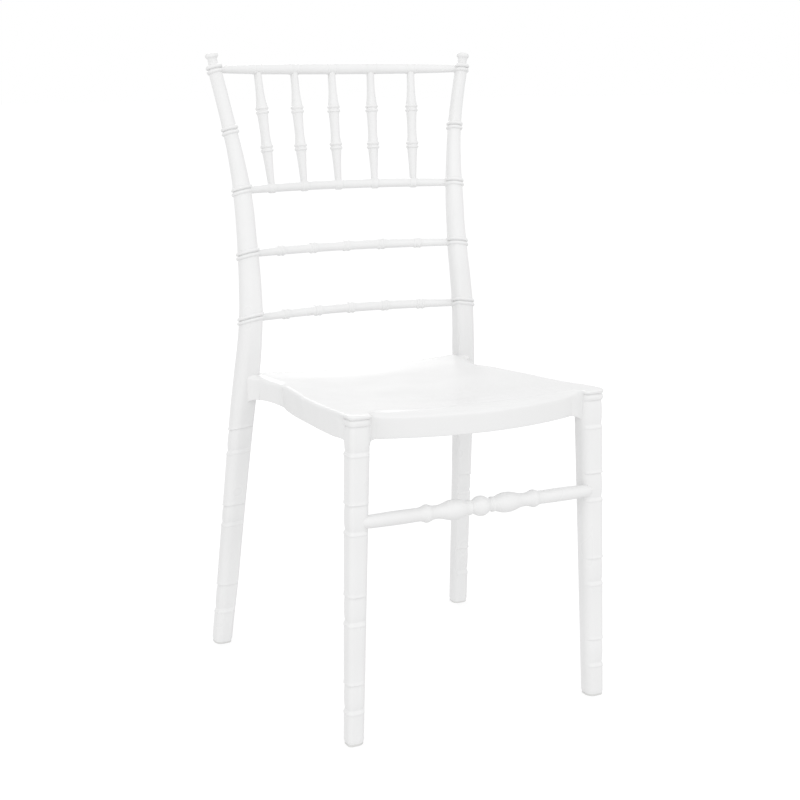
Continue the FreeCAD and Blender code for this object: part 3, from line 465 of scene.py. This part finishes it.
SP_TOP = [64.2 * k for k in (-2, -1, 0, 1, 2)]
SP_LOW = [59.6 * k for k in (-2, -1, 0, 1, 2)]
for key, centres, node in (("top_rail", SP_TOP, faint_node), ("spindle_rail", SP_LOW, band_node),
                           ("upper_back_rail", [57.7 * k for k in (-2, -1, 0, 1, 2)], bulge_node),
                           ("lower_back_rail", [57.1 * k for k in (-2, -1, 0, 1, 2)], bulge_node)):
    v, f = rail_mesh(key, centres, node)
    make("rail_" + key, v, f, [key], FRAME_MAT)

# ---------------------------------------------------------------------------
# Spindles
# ---------------------------------------------------------------------------
SPINDLE = [(0.00, 5.8), (0.06, 5.85), (0.12, 5.95), (0.18, 6.25), (0.23, 6.9), (0.27, 7.8), (0.292, 8.4), (0.302, 8.6),
           (0.3045, 8.9), (0.308, 9.5), (0.314, 9.95), (0.320, 9.8), (0.3255, 9.2), (0.3285, 8.5), (0.334, 8.3),
           (0.3395, 8.5), (0.3425, 9.2), (0.348, 9.85), (0.354, 9.95), (0.360, 9.5), (0.3635, 8.9), (0.366, 8.2),
           (0.40, 7.75), (0.45, 7.35), (0.52, 7.05), (0.57, 7.1), (0.61, 7.5), (0.635, 8.1), (0.641, 8.35),
           (0.644, 8.8), (0.648, 9.4), (0.654, 9.75), (0.660, 9.6), (0.6655, 9.0), (0.6685, 8.3), (0.673, 8.1),
           (0.678, 8.3), (0.681, 9.0), (0.6865, 9.6), (0.692, 9.75), (0.698, 9.3), (0.702, 8.7), (0.705, 7.75),
           (0.74, 7.3), (0.80, 6.6), (0.87, 5.9), (0.94, 5.4), (1.00, 5.1)]
for i in range(5):
    a, _ = rail_point("top_rail", SP_TOP[i])
    b, _ = rail_point("spindle_rail", SP_LOW[i])
    full = np.linalg.norm(b - a)
    u0, u1 = 5.2, full - 4.0
    prof = [(u0 + (u1 - u0) * t, r) for t, r in SPINDLE]
    v, f = turned(prof, a, b - a, segs=36)
    make("spindle_turned_%d" % (i + 1), v, f, ["spindle_%d" % (i + 1)], FRAME_MAT)

# ---------------------------------------------------------------------------
# Front stretcher
# ---------------------------------------------------------------------------
STR = [(0, 14.0), (2.5, 13.8), (5, 13.1), (7.5, 11.9), (9.5, 10.7), (11.5, 9.5), (13, 8.9), (14.2, 8.8), (15.2, 9.4),
       (16.2, 10.3), (17.6, 10.6), (19.2, 10.5), (20.4, 10.0), (21.6, 9.9), (24, 10.5), (28, 12.0), (32, 13.1),
       (36, 13.8), (40, 14.0), (45, 13.8), (50, 13.0), (54, 11.9), (58, 10.6), (62, 9.7), (66, 9.3), (70, 9.3),
       (73.5, 9.7), (77, 10.7), (80, 11.8), (81.6, 12.3), (83.2, 12.4), (84.8, 12.1), (87, 11.2), (89.5, 10.1),
       (92, 9.5), (96, 9.35), (110, 9.5), (130, 9.6), (150, 9.3), (164, 9.0), (170, 8.4), (175, 7.0), (178, 5.0)]
prof = [(178 - x, r) for x, r in reversed(STR)] + [(178 + x, r) for x, r in STR[1:]]
fine = np.linspace(prof[0][0], prof[-1][0], 361)
prof = [(float(s), float(smooth(prof, s))) for s in fine]
v, f = turned(prof, (-178.0, -231.0, 305.5), (1, 0, 0), segs=48)
make("stretcher_turned", v, f, ["front_stretcher"], FRAME_MAT)

# ---------------------------------------------------------------------------
# Seat
# ---------------------------------------------------------------------------
ZS = [(-285, 448.0), (-250, 448.4), (-227, 449.2), (-212, 448.6), (-177, 446.2), (-137, 443.6), (-97, 441.7),
      (-57, 440.8), (-17, 440.3), (23, 439.5), (63, 438.4), (103, 437.4), (138, 438.2), (160, 438.8), (185, 439.2)]
ZD = [(-285, 1.0), (-250, 2.0), (-212, 4.2), (-177, 6.2), (-97, 9.0), (-17, 10.2), (63, 10.0), (138, 9.2), (185, 8.6)]


def seat_top(x, y):
    u = np.minimum(1.15, np.abs(x) / 185.0)
    return smooth(ZS, y) - smooth(ZD, y) * np.maximum(-0.05, 1.0 - u * u)


SIDE = [(-212.0, 195.2), (-197.0, 194.2), (-177.0, 192.7), (-157.0, 191.2), (-137.0, 189.9), (-117.0, 188.6),
        (-97.0, 187.0), (-77.0, 185.6), (-57.0, 183.8), (-37.0, 180.9), (-17.0, 177.8), (3.0, 174.9), (23.0, 172.5),
        (43.0, 170.0), (56.0, 167.3), (63.0, 166.2), (70.0, 166.6), (83.0, 168.3), (103.0, 172.4), (115.0, 175.4),
        (123.0, 178.4), (129.0, 182.0), (133.5, 186.2), (136.4, 190.0), (150.0, 192.0)]
LOW = [(-212.0, 411.9), (-197.0, 411.9), (-177.0, 409.6), (-157.0, 408.0), (-137.0, 407.1), (-117.0, 406.2),
       (-97.0, 405.5), (-77.0, 404.9), (-57.0, 404.1), (-37.0, 402.5), (-17.0, 400.9), (3.0, 399.6), (23.0, 399.2),
       (43.0, 399.1), (63.0, 399.5), (83.0, 400.6), (103.0, 401.1), (123.0, 400.4), (150.0, 399.0)]
WALL = 4.2


def seat_outline():
    """Right half of the outline from the front middle to the rear middle.
    Each entry: outline point, inset point of the top's edge, rounding drop,
    lower edge, inward taper of the wall, the inward direction, and the setback
    of the wall under the rim."""
    rows = []
    # front nose, blended into the inner face of the leg
    nose = [(x, -250 + 30 * (x / 150) ** 2) for x in
            np.r_[np.linspace(0, 140, 29), 143.0, 146.0, 148.5, 151.0]]
    nose += [(153.6, -219.6), (155.8, -220.0), (158.0, -221.5), (160.3, -224.0), (161.6, -227.0)]
    for k, (x, y) in enumerate(nose):
        a = float(line([(0, 20), (140, 19), (151, 13), (156, 7), (160, 4), (163.2, 3)], x))
        b = float(line([(0, 8.0), (145, 7.6), (156, 5.0), (163.2, 3.0)], x))
        zl = 411.3
        if x > 151.0:
            zl -= 13.0 - math.sqrt(max(0.0, 169 - (x - 151.0) ** 2))
        if x < 152:
            d = unit([-0.4 * 60 * x / 150 ** 2 * 0.6, 1.0])
        else:
            q = nose[min(k + 1, len(nose) - 1)]
            r = nose[k - 1]
            d = unit([-(q[1] - r[1]), q[0] - r[0]])
        rows.append(((x, y), (x + d[0] * a, y + d[1] * a), b, zl, 1.6 if x < 152 else 1.0, tuple(d), 0.0))
    # corner pad over the front leg
    px0, px1, py, R0, R1 = 162.2, 195.2, -236.0, 6.0, 8.5
    ends = []
    for cx, rad, a0, a1, n in ((px0 + R0, R0, 180, 270, 7), (px1 - R1, R1, 270, 360, 10)):
        for a in np.linspace(a0, a1, n):
            ca, sa = math.cos(math.radians(a)), math.sin(math.radians(a))
            cy = py + rad
            ends.append(((cx + rad * ca, cy + rad * sa), (cx + (rad - 3.0) * ca, cy + (rad - 3.0) * sa), (-ca, -sa)))
    for o, i, d in ends:
        rows.append((o, i, 2.6, 443.4, 0.6, d, 0.0))
    n_front = len(rows) - 5        # corner of the grid: middle of the outer arc
    # side
    ys = np.r_[-222.0, -218.0, -215.2, -214.6, -211.0, -207.0, np.linspace(-202.0, 40.0, 60), np.linspace(44.0, 150.0, 44)]
    for y in ys:
        w = float(smooth(SIDE, y))
        zl = float(smooth(LOW, y))
        w = 195.2 + (w - 195.2) * float(step(-212.0, -197.0, y))
        if y < -215.0:
            zl, b, a, tp, jog = 443.4, 2.6, 3.0, 0.6, 0.0
        else:
            a = float(line([(-206, 3.4), (-120, 4.8), (30, 5.2), (60, 8.4), (75, 11.0), (150, 12.5)], y))
            b = float(line([(-206, 3.0), (-120, 4.0), (30, 4.4), (60, 5.2), (75, 5.8), (150, 6.2)], y))
            tp = float(line([(-215, 0.8), (-190, 3.2), (40, 4.0), (150, 3.0)], y))
            jog = 2.6 * (1.0 - float(step(-212.0, -188.0, y)))
            if y > 128:
                zl -= 6.0 * ((y - 128) / 14) ** 2 if y < 142 else 6.0
        rows.append(((w, y), (w - a, y), b, zl, tp, (-1.0, 0.0), jog))
    n_side = len(rows)
    # rear edge, from the post inwards
    for x in np.r_[174.0, 170.0, 166.0, np.linspace(162, 0, 37)]:
        b = float(line([(0, 3.4), (140, 3.8), (174, 6.0)], x))
        a = float(line([(0, 4.5), (140, 5.0), (174, 10.0)], x))
        rows.append(((x, 156.0), (min(x, 166.4), 156.0 - a), b, 401.5, 2.0, (0.0, -1.0), 0.0))
    return rows, n_front, n_side


rows, N_F, N_S = seat_outline()


def full_loop(rows):
    """Whole closed outline, counter-clockwise seen from above, starting at the
    front middle.  Mirrors the right half for the left."""
    out = list(rows)
    for r in reversed(rows[1:-1]):
        o, i, b, zl, tp, d, jog = r
        out.append(((-o[0], o[1]), (-i[0], i[1]), b, zl, tp, (-d[0], d[1]), jog))
    return out


loop = full_loop(rows)
NL = len(loop)
O = np.array([r[0] for r in loop], float)
I = np.array([r[1] for r in loop], float)
B = np.array([r[2] for r in loop], float)
ZL = np.array([r[3] for r in loop], float)
TP = np.array([r[4] for r in loop], float)
DR = np.array([r[5] for r in loop], float)
JG = np.array([r[6] for r in loop], float)


def coons(edge):
    """Grid inside a closed loop of points (NL, 2).  Columns run from left to
    right, rows from front to rear; the borders are the loop's own points."""
    n = len(rows)
    right = np.arange(N_F, N_S)                         # front corner to rear corner
    left = np.array([0 if k == 0 else NL - k for k in right])
    front = np.r_[[NL - k for k in range(N_F, 0, -1)], 0, np.arange(1, N_F + 1)]
    rear_half = np.arange(N_S - 1, n)                    # right corner to middle
    rear = np.r_[[NL - k for k in rear_half[:-1]], [n - 1], rear_half[:-1][::-1]]
    F, Rr = edge[front], edge[rear]
    L, R = edge[left], edge[right]
    # rear border resampled to as many columns as the front one
    s = np.linspace(0, 1, len(rear))
    us = (F[:, 0] - F[0, 0]) / (F[-1, 0] - F[0, 0])
    xr = Rr[:, 0]
    ur = (xr - xr[0]) / (xr[-1] - xr[0])
    return front, rear, left, right, F, Rr, L, R, us, ur


front, rear, left, right, F, Rr, L, R, us, ur = coons(I)
NU, NV = len(front), len(right)
vs = (R[:, 1] - R[0, 1]) / (R[-1, 1] - R[0, 1])
Bx = np.interp(us, ur, Rr[:, 0])
By = np.interp(us, ur, Rr[:, 1])


def grid_xy(F, Bx, By, L, R, us, vs):
    U, Vv = np.meshgrid(us, vs, indexing="ij")
    P = np.zeros(U.shape + (2,))
    for c in (0, 1):
        Fc = F[:, c][:, None]
        Bc = (Bx if c == 0 else By)[:, None]
        Lc, Rc = L[:, c][None, :], R[:, c][None, :]
        P[..., c] = ((1 - Vv) * Fc + Vv * Bc + (1 - U) * Lc + U * Rc
                     - ((1 - U) * (1 - Vv) * F[0, c] + U * (1 - Vv) * F[-1, c]
                        + (1 - U) * Vv * Bc[0] + U * Vv * Bc[-1]))
    return P


def cap(F, Bx, By, L, R, us, vs, zfun):
    P = grid_xy(F, Bx, By, L, R, us, vs)
    return np.dstack([P, zfun(P[..., 0], P[..., 1])])


verts, faces = [], []


def add_points(p):
    k = len(verts)
    verts.extend([tuple(q) for q in np.asarray(p, float).reshape(-1, 3)])
    return k


def grid_faces(G, base, up=True):
    nu, nv = G.shape[:2]
    idx = base + np.arange(nu * nv).reshape(nu, nv)
    q = np.stack([idx[:-1, :-1], idx[1:, :-1], idx[1:, 1:], idx[:-1, 1:]], -1).reshape(-1, 4)
    if not up:
        q = q[:, ::-1]
    faces.extend(q.tolist())
    return idx


G = cap(F, Bx, By, L, R, us, vs, seat_top)
top_base = add_points(G)
tidx = grid_faces(G, top_base)
# ordered border of the top grid, counter-clockwise from the front-left corner
border = np.r_[tidx[:, 0], tidx[-1, 1:], tidx[::-1, -1][1:], tidx[0, ::-1][1:-1]]
allv = np.array(verts)
bxy = allv[border]
# parameters of the rim at each border vertex: nearest loop entry
par = {"o": [], "b": [], "zl": [], "tp": [], "d": []}
order = np.r_[front, right[1:]]
nb = len(border)
# loop index for every border vertex (front and sides match one to one, the rear is resampled)
rear_x = bxy[len(front) + len(right) - 1:len(front) + len(right) - 1 + NU - 1, 0]
OX, BB, ZZ, TT, DD, JJ = [], [], [], [], [], []
half_rear = list(range(N_S - 1, len(rows)))
rx = np.array([I[k][0] for k in half_rear])[::-1]


def rear_val(arr, x):
    a = np.array([arr[k] for k in half_rear])[::-1]
    return np.interp(abs(x), rx, a)


for j in range(nb):
    if j < NU:
        k = front[j]
    elif j < NU + NV - 1:
        k = right[j - NU + 1]
    elif j < NU + NV - 1 + NU - 1:
        k = None
    else:
        k = left[::-1][j - (NU + NV - 1 + NU - 1) + 1]
    if k is None:
        x = bxy[j][0]
        ox = math.copysign(rear_val(O[:, 0], x), x) if abs(x) > 1e-6 else 0.0
        oy = rear_val(O[:, 1], x)
        OX.append((ox, oy))
        BB.append(rear_val(B, x))
        ZZ.append(rear_val(ZL, x))
        TT.append(rear_val(TP, x))
        dx = rear_val(DR[:, 0], x)
        dy = rear_val(DR[:, 1], x)
        DD.append((math.copysign(1, x) * dx, dy))
        JJ.append(0.0)
    else:
        OX.append(tuple(O[k]))
        BB.append(B[k])
        ZZ.append(ZL[k])
        TT.append(TP[k])
        DD.append(tuple(DR[k]))
        JJ.append(JG[k])
OX, BB, ZZ, TT, DD, JJ = (np.array(q, float) for q in (OX, BB, ZZ, TT, DD, JJ))
DD /= np.linalg.norm(DD, axis=1)[:, None]


def loop_strip(prev, pts):
    base = add_points(pts)
    cur = base + np.arange(nb)
    q = np.stack([np.roll(prev, -1), prev, cur, np.roll(cur, -1)], -1)
    faces.extend(q.tolist())
    return cur


prev = border
zI = bxy[:, 2]
for ph in np.radians([12, 24, 36, 48, 60, 72, 82, 90]):
    xy = bxy[:, :2] + (OX - bxy[:, :2]) * math.sin(ph)
    z = zI - BB * (1 - math.cos(ph))
    prev = loop_strip(prev, np.c_[xy, z])
z_side = zI - BB
for t in (0.12, 0.3, 0.5, 0.7, 0.88):
    zt = z_side + (ZZ + 1.4 - z_side) * t
    prev = loop_strip(prev, np.c_[OX + DD * (TT * t + JJ)[:, None], zt])
for ph in np.radians([0, 30, 60, 90]):
    inw = TT + JJ + 1.4 * (1 - math.cos(ph))
    prev = loop_strip(prev, np.c_[OX + DD * inw[:, None], ZZ + 1.4 * (1 - math.sin(ph))])
thick = np.minimum(WALL, 4.2)
for ph in np.radians([90, 60, 30, 0]):
    inw = TT + JJ + thick - 1.2 * (1 - math.cos(ph))
    prev = loop_strip(prev, np.c_[OX + DD * inw[:, None], ZZ + 1.2 * (1 - math.sin(ph))])
inner_xy = OX + DD * (JJ + thick + 1.5)[:, None]
under_z = np.maximum(seat_top(inner_xy[:, 0], inner_xy[:, 1]) - WALL, ZZ + 1.3)
prev = loop_strip(prev, np.c_[OX + DD * (JJ + thick + 0.6)[:, None], under_z - 1.2])
last = loop_strip(prev, np.c_[inner_xy, under_z])
# underside cap with the same topology
Fi = inner_xy[:NU]
Ri = inner_xy[NU - 1:NU + NV - 1]
Bi = inner_xy[NU + NV - 2:NU + NV - 2 + NU][::-1]
Li = np.vstack([inner_xy[0:1], inner_xy[NU + NV - 2 + NU:][::-1], inner_xy[NU + NV - 2 + NU - 1:NU + NV - 2 + NU]])
Pu = grid_xy(Fi, Bi[:, 0], Bi[:, 1], Li, Ri, us, vs)
Gu = np.dstack([Pu, seat_top(Pu[..., 0], Pu[..., 1]) - WALL])
lastb = np.full(Gu.shape[:2], -1, int)
lastb[:, 0] = last[:NU]
lastb[-1, :] = last[NU - 1:NU + NV - 1]
lastb[:, -1] = last[NU + NV - 2:NU + NV - 2 + NU][::-1]
lastb[0, 1:-1] = last[NU + NV - 2 + NU:][::-1]
inner_pts = Gu[1:-1, 1:-1].reshape(-1, 3)
kb = add_points(inner_pts)
lastb[1:-1, 1:-1] = kb + np.arange(len(inner_pts)).reshape(Gu.shape[0] - 2, Gu.shape[1] - 2)
q = np.stack([lastb[:-1, :-1], lastb[:-1, 1:], lastb[1:, 1:], lastb[1:, :-1]], -1).reshape(-1, 4)
faces.extend(q.tolist())
seat_parts = [(np.array(verts), faces)]


def box_part(x0, x1, y0, y1, z0, z1, bevel=0.8):
    """Closed box with small chamfers on its lower edges."""
    b = bevel
    lo = [(x0 + b, y0 + b, z0), (x1 - b, y0 + b, z0), (x1 - b, y1 - b, z0), (x0 + b, y1 - b, z0)]
    md = [(x0, y0, z0 + b), (x1, y0, z0 + b), (x1, y1, z0 + b), (x0, y1, z0 + b)]
    hi = [(x0, y0, z1), (x1, y0, z1), (x1, y1, z1), (x0, y1, z1)]
    v = lo + md + hi
    f = [(3, 2, 1, 0), (8, 9, 10, 11)]
    for k in range(4):
        n = (k + 1) % 4
        f.append((k, n, 4 + n, 4 + k))
        f.append((4 + k, 4 + n, 8 + n, 8 + k))
    return np.array(v, float), f


def rib(y, depth=8.0, wide=3.2):
    """Cross rib that follows the underside of the plate."""
    w = float(smooth(SIDE, y)) - WALL
    xs = np.linspace(-w, w, 61)
    zt = seat_top(xs, np.full(len(xs), y)) - WALL
    rings = []
    for x, z in zip(xs, zt):
        zb = z - depth
        rings.append([(x, y - wide / 2, z + 0.8), (x, y - wide / 2, zb + 0.7), (x, y - wide / 2 + 0.7, zb),
                      (x, y + wide / 2 - 0.7, zb), (x, y + wide / 2, zb + 0.7), (x, y + wide / 2, z + 0.8)])
    v, f = skin(np.array(rings))
    return v, f


for y in (-130.0, -20.0, 90.0):
    seat_parts.append(rib(y))
for s in (1, -1):
    x0, x1 = sorted((s * 160.0, s * 190.0))
    seat_parts.append(box_part(x0, x1, -204.6, -195.9, 413.5, 443.0))
    x0, x1 = sorted((s * 163.2, s * 176.0))
    seat_parts.append(box_part(x0, x1, 122.2, 153.0, 401.4, 434.0))
v, f = join(seat_parts)
make("seat_shell", v, f, ["seat"], SEAT_MAT, sharp=44.0)

# ---------------------------------------------------------------------------
# Pieces that stay as they are: glides, bolts, threaded inserts
# ---------------------------------------------------------------------------
for n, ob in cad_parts.items():
    if n.endswith("_glide"):
        mat = GLIDE_MAT
    elif n.endswith("_bolts"):
        mat = STEEL_MAT
    elif n.endswith("_threaded_inserts"):
        mat = BRASS_MAT
    else:
        continue
    ob.data.materials.clear()
    ob.data.materials.append(mat)

# ---------------------------------------------------------------------------
# Floor, light, camera
# ---------------------------------------------------------------------------
bpy.ops.mesh.primitive_plane_add(size=60.0, location=(0, 0, 0))
floor = bpy.context.object
floor.name = "floor"
fm = bpy.data.materials.new("floor_pale")
fm.use_nodes = True
nt = fm.node_tree
nt.nodes.clear()
out = nt.nodes.new("ShaderNodeOutputMaterial")
mix = nt.nodes.new("ShaderNodeMixShader")
dif = nt.nodes.new("ShaderNodeBsdfDiffuse")
emi = nt.nodes.new("ShaderNodeEmission")
noi = nt.nodes.new("ShaderNodeTexNoise")
noi.inputs["Scale"].default_value = 6.0
rmp = nt.nodes.new("ShaderNodeValToRGB")
rmp.color_ramp.elements[0].color = (0.93, 0.93, 0.93, 1)
rmp.color_ramp.elements[1].color = (0.95, 0.95, 0.95, 1)
nt.links.new(noi.outputs["Fac"], rmp.inputs["Fac"])
nt.links.new(rmp.outputs["Color"], dif.inputs["Color"])
emi.inputs["Color"].default_value = (1, 1, 1, 1)
emi.inputs["Strength"].default_value = 1.08
mix.inputs["Fac"].default_value = 0.6
nt.links.new(dif.outputs["BSDF"], mix.inputs[1])
nt.links.new(emi.outputs["Emission"], mix.inputs[2])
nt.links.new(mix.outputs["Shader"], out.inputs["Surface"])
floor.data.materials.append(fm)

floor.visible_diffuse = False
floor.visible_glossy = False
floor.visible_shadow = False

# Studio surround: even white, a little stronger from the front and from below.
world = bpy.data.worlds.new("studio")
bpy.context.scene.world = world
world.use_nodes = True
wt = world.node_tree
bg = wt.nodes["Background"]
wco = wt.nodes.new("ShaderNodeTexCoord")
sep = wt.nodes.new("ShaderNodeSeparateXYZ")
wt.links.new(wco.outputs["Generated"], sep.inputs[0])


def wmath(op, a, b=None, c=None):
    n = wt.nodes.new("ShaderNodeMath")
    n.operation = op
    for k, v in enumerate((a, b, c)):
        if v is None:
            continue
        if isinstance(v, (int, float)):
            n.inputs[k].default_value = v
        else:
            wt.links.new(v, n.inputs[k])
    return n.outputs[0]


SKY, UP, FRONT, LOW, LOW_SIDE = 0.81, 0.16, 0.44, 0.785, 0.15
band = wmath("COMPARE", sep.outputs["Z"], 0.005, 0.040)          # white band at the horizon
above = wmath("GREATER_THAN", sep.outputs["Z"], 0.045)
below = wmath("LESS_THAN", sep.outputs["Z"], -0.035)
to_front = wmath("MAXIMUM", wmath("MULTIPLY", sep.outputs["Y"], -1.0), 0.0)
to_left = wmath("MAXIMUM", wmath("MULTIPLY", sep.outputs["X"], -1.0), 0.0)
sky = wmath("ADD", wmath("MULTIPLY_ADD", sep.outputs["Z"], UP, SKY), wmath("MULTIPLY", to_front, FRONT))
low = wmath("ADD", wmath("MULTIPLY", to_front, LOW_SIDE), wmath("MULTIPLY_ADD", to_left, LOW_SIDE, LOW))
strength = wmath("ADD", wmath("MULTIPLY", above, sky), wmath("ADD", wmath("MULTIPLY", below, low), band))
wt.links.new(strength, bg.inputs["Strength"])
bg.inputs["Color"].default_value = (1, 1, 1, 1)


def area(name, loc, target, size_x, size_y, power):
    d = bpy.data.lights.new(name, "AREA")
    d.shape = "RECTANGLE"
    d.size, d.size_y = size_x, size_y
    d.energy = power
    o = bpy.data.objects.new(name, d)
    bpy.context.scene.collection.objects.link(o)
    o.location = loc
    o.rotation_mode = "QUATERNION"
    o.rotation_quaternion = (Vector(target) - Vector(loc)).to_track_quat("-Z", "Y")
    return o


area("key", (-1.6, -1.9, 2.6), (0, 0, 0.5), 1.6, 1.2, 5.1)
area("side", (-2.6, -0.2, 1.2), (0, 0, 0.5), 1.2, 1.2, 2.2)
area("rear", (0.5, 2.6, 1.9), (0, 0, 0.5), 1.6, 1.2, 16.5)

scene = bpy.context.scene
scene.view_settings.view_transform = "Standard"
scene.view_settings.look = "None"
scene.cycles.use_denoising = True

cam_data = bpy.data.cameras.new("camera")
cam_data.sensor_width = 36.0
cam_data.lens = 1590.2 * 36.0 / 800.0
cam_data.clip_end = 100.0
cam = bpy.data.objects.new("camera", cam_data)
scene.collection.objects.link(cam)
az, el = math.radians(-26.92), math.radians(12.13)
back = Vector((math.sin(az) * math.cos(el), -math.cos(az) * math.cos(el), math.sin(el)))
cam.location = (-1.033, -2.026 + SHIFT * 0.001, 0.896)
cam.rotation_mode = "QUATERNION"
cam.rotation_quaternion = (-back).to_track_quat("-Z", "Y")
scene.camera = cam
